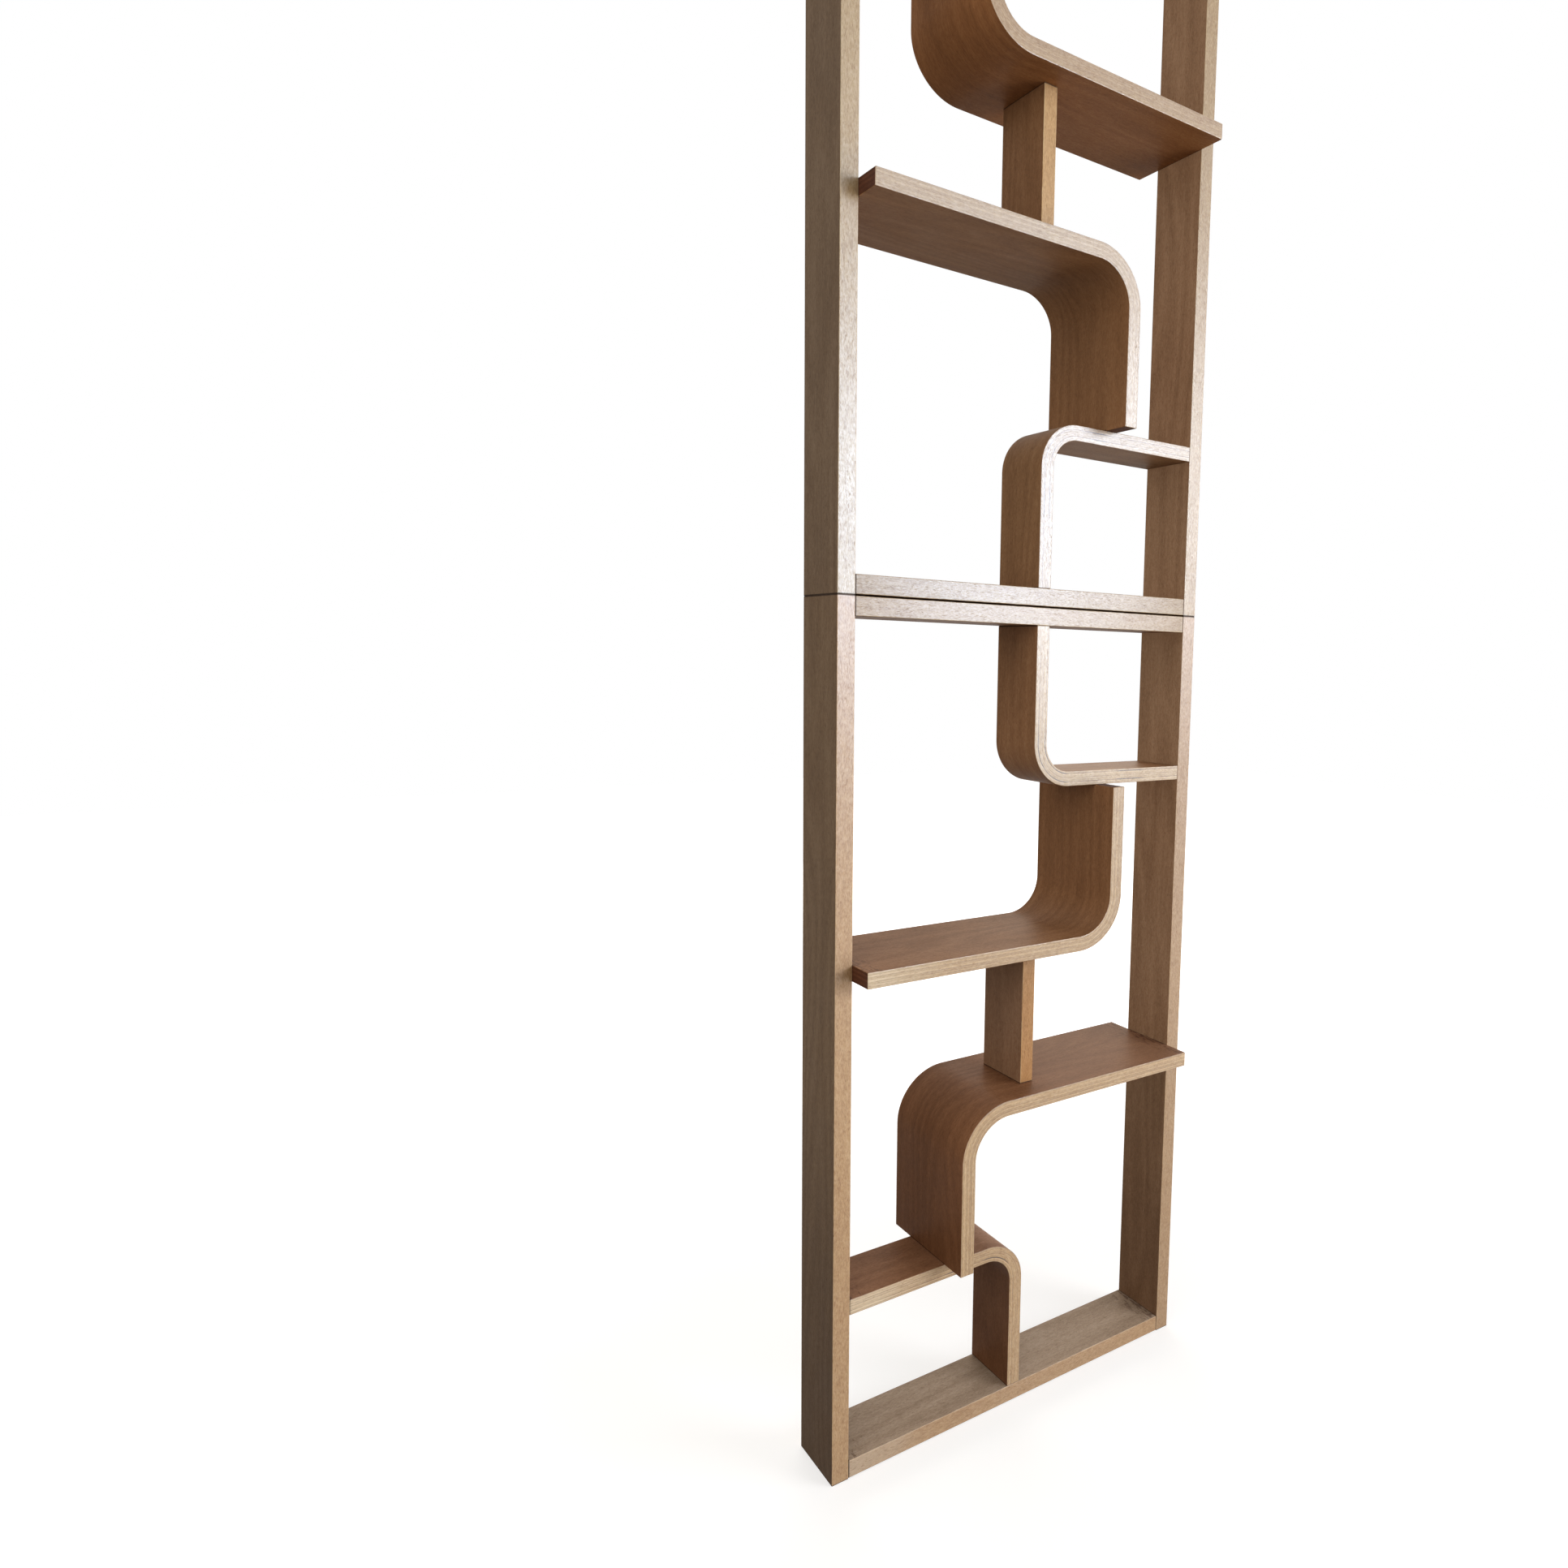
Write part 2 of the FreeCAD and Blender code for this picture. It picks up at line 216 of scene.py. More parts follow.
def buildSection():
    inputs = {"Path": "Geometry", **boardInputs}
    tree, given, result = startGroup("boardSection", "GeometryNodeTree", inputs, {"Geometry": "Geometry"})
    board = sweepSection(tree, given)
    board = storeFinish(tree, given, board)
    board = easeEnds(tree, given, board)
    board = boreFirstEnd(tree, given, board)
    tree.links.new(dressSides(tree, given, board), result[0])
    return tree


def finishBoardTree(tree, given, result, path):
    board = put(tree, "GeometryNodeGroup", node_tree=boardSection)
    tree.links.new(path, board.inputs["Path"])
    for label in boardInputs:
        tree.links.new(given[label], board.inputs[label])
    tree.links.new(board.outputs[0], result[0])
    return tree


# The path runs from the far end to the outer corner, which is rounded, and down to the foot
def buildBentBoard():
    bendInputs = {"Reach": "Float", "Drop": "Float", "Outer Radius": "Float", "Bend Steps": "Int"}
    inputs = {**bendInputs, **boardInputs}
    tree, given, result = startGroup("bentBoard", "GeometryNodeTree", inputs, {"Geometry": "Geometry"})
    half = calc(tree, "DIVIDE", given["Thickness"], 2)
    inset = calc(tree, "MULTIPLY", half, -1)
    farEnd = calc(tree, "SUBTRACT", given["End Ease"], given["Reach"])
    foot = calc(tree, "SUBTRACT", given["End Ease"], given["Drop"])
    points = [put(tree, "ShaderNodeCombineXYZ", {0: x, 2: z}).outputs[0]
              for x, z in ((farEnd, inset), (inset, inset), (inset, foot))]
    line = put(tree, "GeometryNodeCurvePrimitiveLine", {"Start": points[0], "End": points[2]})
    line = put(tree, "GeometryNodeResampleCurve", {"Curve": line.outputs[0], "Count": len(points)})
    pick = put(tree, "GeometryNodeIndexSwitch", data_type="VECTOR")
    pick.index_switch_items.new()
    tree.links.new(put(tree, "GeometryNodeInputIndex").outputs[0], pick.inputs["Index"])
    for number, point in enumerate(points):
        tree.links.new(point, pick.inputs[number + 1])
    line = put(tree, "GeometryNodeSetPosition", {"Geometry": line.outputs[0], "Position": pick.outputs[0]})
    radius = calc(tree, "SUBTRACT", given["Outer Radius"], half)
    rounded = put(tree, "GeometryNodeFilletCurve",
                  {"Curve": line.outputs[0], "Count": given["Bend Steps"], "Radius": radius}, mode="POLY")
    return finishBoardTree(tree, given, result, rounded.outputs[0])


def buildStraightBoard():
    inputs = {"Length": "Float", **boardInputs}
    tree, given, result = startGroup("straightBoard", "GeometryNodeTree", inputs, {"Geometry": "Geometry"})
    stop = calc(tree, "SUBTRACT", given["Length"], given["End Ease"])
    near = put(tree, "ShaderNodeCombineXYZ", {0: given["End Ease"]}).outputs[0]
    far = put(tree, "ShaderNodeCombineXYZ", {0: stop}).outputs[0]
    line = put(tree, "GeometryNodeCurvePrimitiveLine", {"Start": near, "End": far})
    return finishBoardTree(tree, given, result, line.outputs[0])


boardSection = buildSection()
bentBoard = buildBentBoard()
straightBoard = buildStraightBoard()
print("board trees built")

# Wood finish: shader groups that every board shares. A noise has its changes per metre along and across
# the board, its detail and roughness, and a shift that sets it apart from the others
seedStride = 1.7
# Most of a noise lies between these
noiseRange = {"low": 0.32, "mid": 0.5, "high": 0.68}


def stretchedNoise(tree, coord, seed, along, across, detail, roughness, shift):
    start = calc(tree, "MULTIPLY_ADD", seed, seedStride, shift)
    move = put(tree, "ShaderNodeCombineXYZ", {0: start, 1: seed, 2: shift}).outputs[0]
    spread = put(tree, "ShaderNodeVectorMath", {0: coord, 1: (along, across, across), 2: move},
                 operation="MULTIPLY_ADD").outputs[0]
    return put(tree, "ShaderNodeTexNoise",
               {"Vector": spread, "Scale": 1, "Detail": detail, "Roughness": roughness}).outputs[0]


# From 0 at low to 1 at high, eased at both
def band(tree, value, low, high):
    inputs = {"Value": value, "From Min": low, "From Max": high}
    return put(tree, "ShaderNodeMapRange", inputs, interpolation_type="SMOOTHSTEP").outputs[0]


# A value of 0 to 1, spread from low to high
def between(tree, value, low, high):
    return put(tree, "ShaderNodeMapRange", {"Value": value, "To Min": low, "To Max": high}).outputs[0]


# A noise about its middle, times a reach, added to a value
def sway(tree, noise, reach, value):
    return calc(tree, "MULTIPLY_ADD", calc(tree, "SUBTRACT", noise, noiseRange["mid"]), reach, value)


# Sockets 6 and 7 of this node are its colours, and output 2 is the mixed one
def blendColour(tree, mode, amount, first, second):
    inputs = {0: amount, 6: first, 7: second}
    return put(tree, "ShaderNodeMix", inputs, data_type="RGBA", blend_type=mode).outputs[2]


fibreNoises = {
    "Wander": {"along": 2.6, "across": 7, "detail": 1, "roughness": 0.5, "shift": 3.1},
    "Streak": {"along": 3, "across": 210, "detail": 3, "roughness": 0.6, "shift": 11.3},
    "Mottle": {"along": 75, "across": 210, "detail": 3, "roughness": 0.65, "shift": 61.8},
    "Fibre": {"along": 60, "across": 620, "detail": 3, "roughness": 0.6, "shift": 5.7},
    "Drift": {"along": 4.5, "across": 13, "detail": 2, "roughness": 0.5, "shift": 23.9},
    "Fleck": {"along": 230, "across": 640, "detail": 2, "roughness": 0.7, "shift": 67.3},
    "Swell": {"along": 1.3, "across": 11, "detail": 1, "roughness": 0.4, "shift": 71.5},
    "Fine": {"along": 150, "across": 1100, "detail": 1, "roughness": 0.5, "shift": 41.2},
    "Coarse": {"along": 120, "across": 560, "detail": 1, "roughness": 0.5, "shift": 47.9},
}
fibreShape = {
    "wanderReach": 0.016, "rings": 11,
    "poreFrom": 0.72, "poreSpread": 0.2, "fineRise": 0.07, "coarseRise": 0.14, "coarseShow": 0.7,
}


def buildFibre():
    inputs = {"Coord": "Vector", "Seed": "Float", "Pore Share": "Float"}
    labels = ("Streak", "Figure", "Mottle", "Fibre", "Drift", "Fleck", "Pore")
    outputs = {label: "Float" for label in labels}
    tree, given, result = startGroup("woodFibre", "ShaderNodeTree", inputs, outputs)

    def noise(coord, label):
        return stretchedNoise(tree, coord, given["Seed"], **fibreNoises[label])

    # The grain wanders a little to the side on its way along the board
    wander = sway(tree, noise(given["Coord"], "Wander"), fibreShape["wanderReach"], 0)
    aside = put(tree, "ShaderNodeCombineXYZ", {1: wander, 2: wander}).outputs[0]
    coord = put(tree, "ShaderNodeVectorMath", {0: given["Coord"], 1: aside}, operation="ADD").outputs[0]
    grains = {label: noise(coord, label) for label in ("Streak", "Mottle", "Fibre", "Drift", "Fleck")}
    # Growth rings cut flat show as contour lines of a slow swell, folded up and down
    rings = calc(tree, "MULTIPLY", noise(coord, "Swell"), fibreShape["rings"])
    grains["Figure"] = calc(tree, "MULTIPLY", calc(tree, "PINGPONG", rings, 0.5), 2)
    # Pores: short dark dashes, fine ones and a few coarse
    spread = calc(tree, "MULTIPLY", given["Pore Share"], fibreShape["poreSpread"])
    start = calc(tree, "SUBTRACT", fibreShape["poreFrom"], spread)
    fine = band(tree, noise(coord, "Fine"), start, calc(tree, "ADD", start, fibreShape["fineRise"]))
    coarse = band(tree, noise(coord, "Coarse"), start, calc(tree, "ADD", start, fibreShape["coarseRise"]))
    coarse = calc(tree, "MULTIPLY", coarse, fibreShape["coarseShow"])
    grains["Pore"] = calc(tree, "MAXIMUM", fine, coarse)
    for label, value in grains.items():
        tree.links.new(value, result[label])
    return tree


plyNoises = {
    "wobble": {"along": 8, "across": 0, "detail": 2, "roughness": 0.6, "shift": 2.2},
    "broken": {"along": 34, "across": 500, "detail": 2, "roughness": 0.6, "shift": 8.8},
    "opened": {"along": 11, "across": 0, "detail": 1, "roughness": 0.5, "shift": 19.6},
}
# Widths of glue lines and splits are shares of a ply. The wobble and the skin are shares of the thickness
plyShape = {
    "wobble": 0.02, "toneStride": 13.7, "ownTone": 0.6, "crossedTone": 0.4,
    "lineStride": 5.3, "lineWidth": (0.1, 0.3), "lineCore": 0.3,
    "lineStrength": (0.3, 1), "strengthPower": 2,
    "broken": (0.3, 0.55), "opened": (0.5, 0.58), "splitWidth": (0.34, 0.16), "splitLines": (0.8, 0.88),
    "skin": (0.035, 0.02),
}


def buildPlies():
    inputs = {"Coord": "Vector", "Size": "Vector", "Seed": "Float", "Plies": "Float"}
    outputs = {"Ply Tone": "Float", "Glue Line": "Float", "Split": "Float", "Skin": "Float"}
    tree, given, result = startGroup("plyLines", "ShaderNodeTree", inputs, outputs)
    coord = splitVector(tree, given["Coord"])
    size = splitVector(tree, given["Size"])

    def noise(label):
        return stretchedNoise(tree, given["Coord"], given["Seed"], **plyNoises[label])

    def chance(stride, number):
        pick = calc(tree, "MULTIPLY_ADD", given["Seed"], stride, number)
        return put(tree, "ShaderNodeTexWhiteNoise", {"W": pick}, noise_dimensions="1D").outputs[0]

    height = calc(tree, "ADD", calc(tree, "DIVIDE", coord["Z"], size["Z"]), 0.5)
    height = sway(tree, noise("wobble"), plyShape["wobble"], height)
    layer = calc(tree, "MULTIPLY", height, given["Plies"])
    number = calc(tree, "FLOOR", layer)
    nearest = calc(tree, "ROUND", layer)
    gap = calc(tree, "ABSOLUTE", calc(tree, "SUBTRACT", layer, nearest))
    # Every other ply is crossed, and each has a tone of its own
    crossed = calc(tree, "MULTIPLY", calc(tree, "MODULO", number, 2), plyShape["crossedTone"])
    plyTone = chance(plyShape["toneStride"], number)
    plyTone = calc(tree, "MULTIPLY_ADD", plyTone, plyShape["ownTone"], crossed)
    lineTone = chance(plyShape["lineStride"], nearest)
    width = between(tree, lineTone, *plyShape["lineWidth"])
    line = band(tree, gap, width, calc(tree, "MULTIPLY", width, plyShape["lineCore"]))
    broken = band(tree, noise("broken"), *plyShape["broken"])
    strength = between(tree, lineTone, *plyShape["lineStrength"])
    strength = calc(tree, "POWER", strength, plyShape["strengthPower"])
    line = calc(tree, "MULTIPLY", line, calc(tree, "MULTIPLY", strength, broken))
    # The strongest glue lines have opened a little here and there
    opened = band(tree, noise("opened"), *plyShape["opened"])
    strongest = band(tree, lineTone, *plyShape["splitLines"])
    thin = calc(tree, "MULTIPLY", band(tree, gap, *plyShape["splitWidth"]), strongest)
    split = calc(tree, "MULTIPLY", thin, opened)
    rim = calc(tree, "SUBTRACT", 0.5, calc(tree, "ABSOLUTE", calc(tree, "SUBTRACT", height, 0.5)))
    skin = band(tree, rim, *plyShape["skin"])
    for label, value in (("Ply Tone", plyTone), ("Glue Line", line), ("Split", split), ("Skin", skin)):
        tree.links.new(value, result[label])
    return tree


wearAndLightNoises = {
    "patch": {"along": 26, "across": 60, "detail": 3, "roughness": 0.6, "shift": 17.4},
    "stroke": {"along": 60, "across": 640, "detail": 1, "roughness": 0.5, "shift": 31.6},
    "area": {"along": 5, "across": 9, "detail": 1, "roughness": 0.5, "shift": 37.7},
    "smudge": {"along": 14, "across": 22, "detail": 3, "roughness": 0.6, "shift": 53.1},
    "speck": {"along": 190, "across": 60, "detail": 2, "roughness": 0.6, "shift": 43.7},
}
# Pairs are where a mark starts and where it is full, in metres or as levels of a noise or a slope.
# The rub's reach and the polish run from the first number to the second
wearAndLightShape = {
    "rubReach": (0.0002, 0.003), "rubPatch": (0.38, 0.62),
    "scuffStroke": (0.7, 0.78), "scuffArea": (0.5, 0.66),
    "topSlope": (0.2, 0.8), "lowShadeHeight": (0.7, 0.05), "lowShadeSway": 0.3, "lowShadeOnTop": 0.45,
    "frameReach": 0.0485, "belowTop": 0.0025, "joint": (0.0014, 0.0005),
    "speck": (0.5, 0.6), "markFromEnd": (0.034, 0.012),
    "sheenAbove": (0.36, 0.42), "sheenBelow": (0.62, 0.54), "sheenAside": (-0.02, 0.05),
    "palerAside": (-0.13, -0.29), "palerBelow": (0.9, 0.65), "palerSway": 0.1, "polish": (0.5, 1.3),
}


# Wear and marks on a board, with painted shade near the floor and a painted sheen on one top
def buildWearAndLight():
    inputs = {"Coord": "Vector", "Size": "Vector", "Place": "Vector", "Seed": "Float"}
    labels = ("Rub", "Scuff", "Smudge", "Low Shade", "Joint", "Mark", "Fade", "Sunned", "Polish", "Middle")
    outputs = {label: "Float" for label in labels}
    tree, given, result = startGroup("boardWearAndLight", "ShaderNodeTree", inputs, outputs)
    coord = splitVector(tree, given["Coord"])
    size = splitVector(tree, given["Size"])
    place = splitVector(tree, given["Place"])
    facing = splitVector(tree, put(tree, "ShaderNodeNewGeometry").outputs["True Normal"])

    def noise(label):
        return stretchedNoise(tree, given["Coord"], given["Seed"], **wearAndLightNoises[label])

    def shaped(value, name):
        return band(tree, value, *wearAndLightShape[name])

    def times(*values):
        product = values[0]
        for value in values[1:]:
            product = calc(tree, "MULTIPLY", product, value)
        return product

    def inFromEdge(axis):
        half = calc(tree, "DIVIDE", size[axis], 2)
        return calc(tree, "SUBTRACT", half, calc(tree, "ABSOLUTE", coord[axis]))

    # Arrises are rubbed pale in patches, and faces scuffed in strokes
    away = calc(tree, "MAXIMUM", inFromEdge("Y"), inFromEdge("Z"))
    patch = noise("patch")
    reach = between(tree, patch, *wearAndLightShape["rubReach"])
    rub = times(band(tree, away, reach, 0), shaped(patch, "rubPatch"))
    scuff = times(shaped(noise("stroke"), "scuffStroke"), shaped(noise("area"), "scuffArea"))
    smudge = noise("smudge")
    # Painted shade: boards are darker near the floor, their tops less than their sides
    onTop = shaped(facing["Z"], "topSlope")
    height = sway(tree, smudge, wearAndLightShape["lowShadeSway"], place["Z"])
    lowShade = times(shaped(height, "lowShadeHeight"), between(tree, onTop, 1, wearAndLightShape["lowShadeOnTop"]))
    # Dark hairline where a board's end meets another, not on what stands proud or on the very top
    toEnd = calc(tree, "MINIMUM", coord["X"], calc(tree, "SUBTRACT", size["X"], coord["X"]))
    inFrame = calc(tree, "LESS_THAN", calc(tree, "ABSOLUTE", place["Y"]), wearAndLightShape["frameReach"])
    underTop = calc(tree, "LESS_THAN", place["Z"], cadBounds[1][2] - wearAndLightShape["belowTop"])
    joint = times(shaped(toEnd, "joint"), inFrame, underTop)
    # Dark marks on the tops, beside the uprights
    mark = times(shaped(noise("speck"), "speck"), onTop, shaped(toEnd, "markFromEnd"))
    # Painted sheen: the lower deep right shelf's top is paler and greyer on the window's side
    inSheen = times(shaped(place["Z"], "sheenAbove"), shaped(place["Z"], "sheenBelow"))
    sunned = times(shaped(place["X"], "sheenAside"), inSheen, onTop)
    # The lower boards' edges are paler towards the left
    aside = sway(tree, smudge, wearAndLightShape["palerSway"], place["X"])
    paler = times(shaped(aside, "palerAside"), shaped(place["Z"], "palerBelow"))
    # 1 half way along the board, nothing at its ends
    share = calc(tree, "DIVIDE", coord["X"], size["X"])
    middle = times(share, 4, calc(tree, "SUBTRACT", 1, share))
    # Tops are polished by use, in patches
    polish = times(onTop, between(tree, smudge, *wearAndLightShape["polish"]))
    wearAndLight = (rub, scuff, smudge, lowShade, joint, mark, paler, sunned, polish, middle)
    for label, value in zip(labels, wearAndLight):
        tree.links.new(value, result[label])
    return tree


woodFibre = buildFibre()
plyLines = buildPlies()
boardWearAndLight = buildWearAndLight()

# How pores, rubbing and scuffs change the gloss and the relief
woodSurface = {
    "roughSpread": 0.08, "poreRough": 0.2, "rubRough": 0.12, "rubDull": 0.6,
    "fibreRelief": 0.4, "scuffRelief": 0.5, "reliefHeight": 0.0003,
}


def readPoint(tree, attribute, output="Vector"):
    return put(tree, "ShaderNodeAttribute", attribute_name=attribute).outputs[output]


def useGroup(tree, group, inputs):
    return put(tree, "ShaderNodeGroup", inputs, node_tree=group).outputs


# The grain, then the plies, pores, wear, painted shade and a painted sheen that cover it. How much of each
# layer shows is given back too
def woodColour(tree, look, fibre, plies, wearAndLight):
    shown = {}

    def cover(colour, mask, layer, mode="MIX"):
        shown[layer] = calc(tree, "MULTIPLY", mask, look[layer + "Show"])
        return blendColour(tree, mode, shown[layer], colour, fromSrgb(*look[layer]))

    grain = 0
    for label, share in look["grain"].items():
        grain = calc(tree, "MULTIPLY_ADD", fibre[label], share, grain)
    ramp = put(tree, "ShaderNodeValToRGB", {0: grain})
    stops = ramp.color_ramp.elements
    stops[0].position, stops[0].color = noiseRange["low"], fromSrgb(*look["dark"])
    stops[1].position, stops[1].color = noiseRange["high"], fromSrgb(*look["light"])
    stops.new(noiseRange["mid"]).color = fromSrgb(*look["mid"])
    # Edges low down are paler towards the left
    colour = cover(ramp.outputs[0], wearAndLight["Fade"], "paler")
    if plies:
        shade = put(tree, "ShaderNodeValToRGB", {0: plies["Ply Tone"]})
        shade.color_ramp.elements[0].color = fromSrgb(*look["plyDark"])
        shade.color_ramp.elements[1].color = fromSrgb(*look["plyLight"])
        colour = blendColour(tree, "MULTIPLY", look["plyContrast"], colour, shade.outputs[0])
        for label, layer in (("Glue Line", "glue"), ("Split", "split"), ("Skin", "skin")):
            colour = cover(colour, plies[label], layer)
    colour = cover(colour, fibre["Pore"], "pore")
    # Rubs and scuffs, then a painted sheen on a top
    for label in ("Rub", "Scuff", "Sunned"):
        colour = cover(colour, wearAndLight[label], label.lower())
    # Painted shade: darker near the floor
    colour = cover(colour, wearAndLight["Low Shade"], "lowShade", "MULTIPLY")
    colour = blendColour(tree, "MULTIPLY", 1, colour, readPoint(tree, look["tint"], "Color"))
    for label in ("Mark", "Joint"):
        colour = cover(colour, wearAndLight[label], label.lower())
    return colour, shown


def woodRoughness(tree, look, wearAndLight, shown):
    spread = woodSurface["roughSpread"]
    rough = between(tree, wearAndLight["Smudge"], look["roughness"] - spread, look["roughness"] + spread)
    rough = calc(tree, "MULTIPLY_ADD", shown["pore"], woodSurface["poreRough"], rough)
    return calc(tree, "MULTIPLY_ADD", shown["rub"], woodSurface["rubRough"], rough)


# Lacquer glitters with the flecks, and is thin in pores, at joints and where it is rubbed
def woodLacquer(tree, look, fibre, wearAndLight, shown):
    lacquer = calc(tree, "MULTIPLY_ADD", wearAndLight["Polish"], look["polish"], look["lacquer"])
    fleck = band(tree, fibre["Fleck"], noiseRange["low"], noiseRange["high"])
    lacquer = calc(tree, "MULTIPLY", lacquer, between(tree, fleck, *look["sparkle"]))
    if look["handled"]:
        lacquer = calc(tree, "MULTIPLY", lacquer, between(tree, wearAndLight["Middle"], 1 - look["handled"], 1))
    outOfPores = calc(tree, "SUBTRACT", 1, shown["pore"])
    unrubbed = calc(tree, "MULTIPLY_ADD", shown["rub"], -woodSurface["rubDull"], 1)
    offJoints = calc(tree, "SUBTRACT", 1, shown["joint"])
    for left in (outOfPores, unrubbed, offJoints):
        lacquer = calc(tree, "MULTIPLY", left, lacquer)
    return lacquer


def woodRelief(tree, look, fibre, wearAndLight):
    relief = calc(tree, "MULTIPLY", fibre["Fibre"], woodSurface["fibreRelief"])
    relief = calc(tree, "MULTIPLY_ADD", fibre["Pore"], -1, relief)
    relief = calc(tree, "MULTIPLY_ADD", wearAndLight["Scuff"], -woodSurface["scuffRelief"], relief)
    inputs = {"Strength": look["bump"], "Distance": woodSurface["reliefHeight"], "Height": relief}
    return put(tree, "ShaderNodeBump", inputs).outputs[0]


def makeWood(name, look):
    material, tree = startMaterial(name)
    board = {"Coord": readPoint(tree, "boardCoord"), "Seed": readPoint(tree, "grainSeed", "Fac")}
    sized = {**board, "Size": readPoint(tree, "boardSize")}
    place = put(tree, "ShaderNodeTexCoord").outputs["Object"]
    fibre = useGroup(tree, woodFibre, {**board, "Pore Share": look["poreShare"]})
    wearAndLight = useGroup(tree, boardWearAndLight, {**sized, "Place": place})
    plies = useGroup(tree, plyLines, {**sized, "Plies": look["plies"]}) if look["plies"] else None
    colour, shown = woodColour(tree, look, fibre, plies, wearAndLight)
    shader = put(tree, "ShaderNodeBsdfPrincipled",
                 {"Base Color": colour, "Roughness": woodRoughness(tree, look, wearAndLight, shown),
                  "Coat Weight": woodLacquer(tree, look, fibre, wearAndLight, shown),
                  "Normal": woodRelief(tree, look, fibre, wearAndLight),
                  "Coat Roughness": look["coatRoughness"], "Coat IOR": look["coatIor"],
                  "Specular IOR Level": look["specular"]})
    tree.links.new(shader.outputs[0], put(tree, "ShaderNodeOutputMaterial").inputs[0])
    return material


# The faces are darker than the edges, partly in the wood's own tone and partly as painted shade
faceLook = {
    "tint": "faceTint",
    "dark": (112, 77, 49), "mid": (134, 95, 63), "light": (154, 113, 78),
    "grain": {"Streak": 0.12, "Figure": 0.1, "Mottle": 0.28, "Fibre": 0.1, "Drift": 0.1, "Fleck": 0.3},
    "poreShare": 0.4, "pore": (88, 58, 38), "poreShow": 0.45, "joint": (44, 28, 20), "jointShow": 0.85,
    "rub": (176, 136, 100), "rubShow": 0.5, "scuff": (170, 132, 100), "scuffShow": 0.25,
    # This line's first colour is painted shade near the floor, and its second makes edges paler towards
    # the left
    "lowShade": (176, 166, 158), "lowShadeShow": 0.8, "paler": (214, 198, 178), "palerShow": 0,
    # This line's last colour is a painted sheen on a top
    "mark": (70, 42, 30), "markShow": 0.55, "sunned": (176, 150, 124), "sunnedShow": 0,
    "plies": 0, "roughness": 0.56, "lacquer": 0.03, "polish": 0.08, "handled": 0, "sparkle": (0.7, 1.3),
    "coatRoughness": 0.4, "coatIor": 1.5, "specular": 0.04, "bump": 0.25,
}
# The bent boards' faces show the painted sheen
bentFaceLook = {**faceLook, "sunnedShow": 0.22}
solidEdgeLook = {
    **faceLook, "tint": "edgeTint", "markShow": 0,
    "dark": (155, 118, 81), "mid": (178, 142, 102), "light": (195, 162, 124),
    "grain": {"Streak": 0.08, "Figure": 0.02, "Mottle": 0.4, "Fibre": 0.08, "Drift": 0.04, "Fleck": 0.38},
    "poreShare": 0.5, "pore": (130, 90, 60), "poreShow": 0.5,
    # The edges get a little of the painted shade near the floor
    "rub": (216, 186, 150), "scuff": (140, 100, 70), "scuffShow": 0.3, "lowShadeShow": 0.1,
    "roughness": 0.5, "lacquer": 0.62, "polish": 0, "sparkle": (0.64, 1.36),
    "coatRoughness": 0.37, "coatIor": 1.8, "specular": 0.3, "bump": 0.4,
}
dividerEdgeLook = {
    **solidEdgeLook,
    "dark": (146, 104, 62), "mid": (169, 124, 78), "light": (186, 144, 98), "pore": (116, 78, 46),
    "lacquer": 0.12,
}
railEdgeLook = {**solidEdgeLook, "palerShow": 0.5, "lacquer": 0.66, "handled": 0.55}
plyEdgeLook = {
    **solidEdgeLook, "paler": (240, 226, 206), "palerShow": 0.6, "jointShow": 0.4,
    "dark": (167, 134, 97), "mid": (191, 160, 122), "light": (207, 180, 144),
    "plies": 7, "plyDark": (205, 190, 170), "plyLight": (255, 255, 255), "plyContrast": 0.6,
    "glue": (110, 72, 46), "glueShow": 0.9, "split": (54, 33, 23), "splitShow": 0.9,
    "skin": (120, 80, 54), "skinShow": 0.6, "poreShare": 0.4,
    "lacquer": 0.72,
}
endLook = {
    **faceLook, "tint": "edgeTint", "markShow": 0, "jointShow": 0,
    "dark": (110, 77, 52), "mid": (132, 95, 66), "light": (150, 112, 80), "poreShare": 0.6,
    "pore": (84, 56, 38), "rub": (160, 124, 92), "roughness": 0.6, "lacquer": 0.1,
}
plyEndLook = {
    **endLook,
    "dark": (72, 42, 31), "mid": (91, 54, 40), "light": (108, 69, 51),
    "pore": (56, 34, 24), "rub": (150, 112, 80),
    "plies": 7, "plyDark": (180, 170, 160), "plyLight": (255, 255, 255), "plyContrast": 0.7,
    "glue": (56, 36, 26), "glueShow": 0.6, "split": (40, 26, 20), "splitShow": 0.5,
    "skin": (70, 44, 30), "skinShow": 0.6,
}
frameFace = makeWood("frameFace", faceLook)
frameEdge = makeWood("frameEdge", solidEdgeLook)
railEdge = makeWood("railEdge", railEdgeLook)
frameEnd = makeWood("frameEnd", endLook)
bentFace = makeWood("bentFace", bentFaceLook)
plyEdge = makeWood("plyEdge", plyEdgeLook)
plyEnd = makeWood("plyEnd", plyEndLook)
dividerFace = makeWood("dividerFace", faceLook)
dividerEdge = makeWood("dividerEdge", dividerEdgeLook)
print("wood finishes built")

# Eased arrises and ends, and the open bores of the boards that come off the loose pins
boardFinish = {
    "edgeEase": 0.0008, "endEase": 0.0006, "smoothDegrees": 10,
    "bored": ("upper_left_upright", "upper_right_upright"), "pinBore": 0.0104, "boreDepth": 0.022,
}
